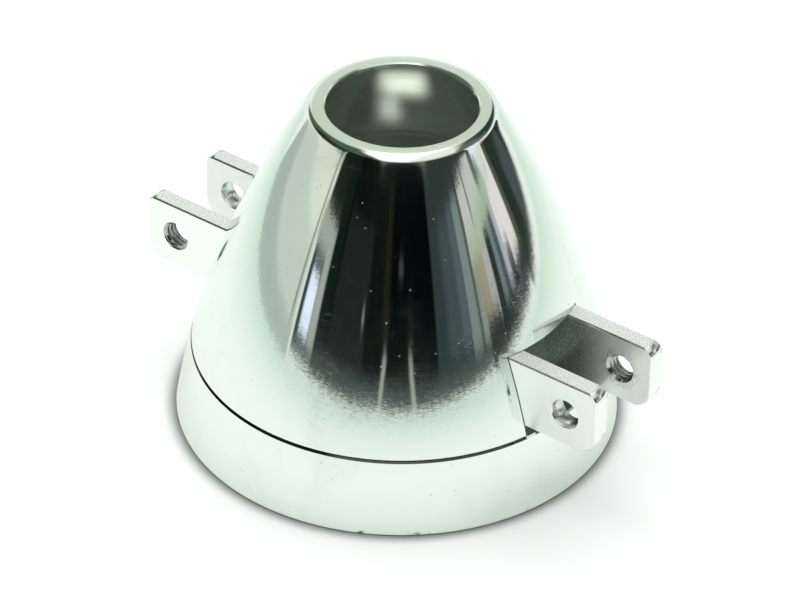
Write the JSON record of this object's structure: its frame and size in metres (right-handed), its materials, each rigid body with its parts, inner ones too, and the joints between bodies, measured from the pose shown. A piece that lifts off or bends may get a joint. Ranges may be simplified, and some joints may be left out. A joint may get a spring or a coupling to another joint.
{
  "type": "folding propeller spinner",
  "caption": "Polished aluminium ogive spinner with an open nose, a matching base ring and forked ears for folding propeller blades.",
  "frame": {"origin": "centre of the backplate's bottom face, on the spin axis", "axes": "+Z along the spin axis towards the nose, +X along the yoke towards the fork whose +Y ear is threaded"},
  "size_m": [0.056, 0.045, 0.0356],
  "materials": {
    "polished_cone": "mirror polished outside, turned inside",
    "polished_backplate": "mirror polished outside, turned inside",
    "satin_yoke": "satin milled sides, bead-blasted top",
    "collet_steel": "turned",
    "nut_steel": "bright zinc",
    "washer_steel": "stamped and tumbled",
    "screw_steel": "stainless"
  },
  "bodies": {
    "root": {"spinner_cone": "polished_cone", "backplate": "polished_backplate", "blade_yoke": "satin_yoke", "collet": "collet_steel", "collet_washer": "washer_steel", "collet_nut": "nut_steel", "cone_screws": "screw_steel"}
  },
  "joints": []
}
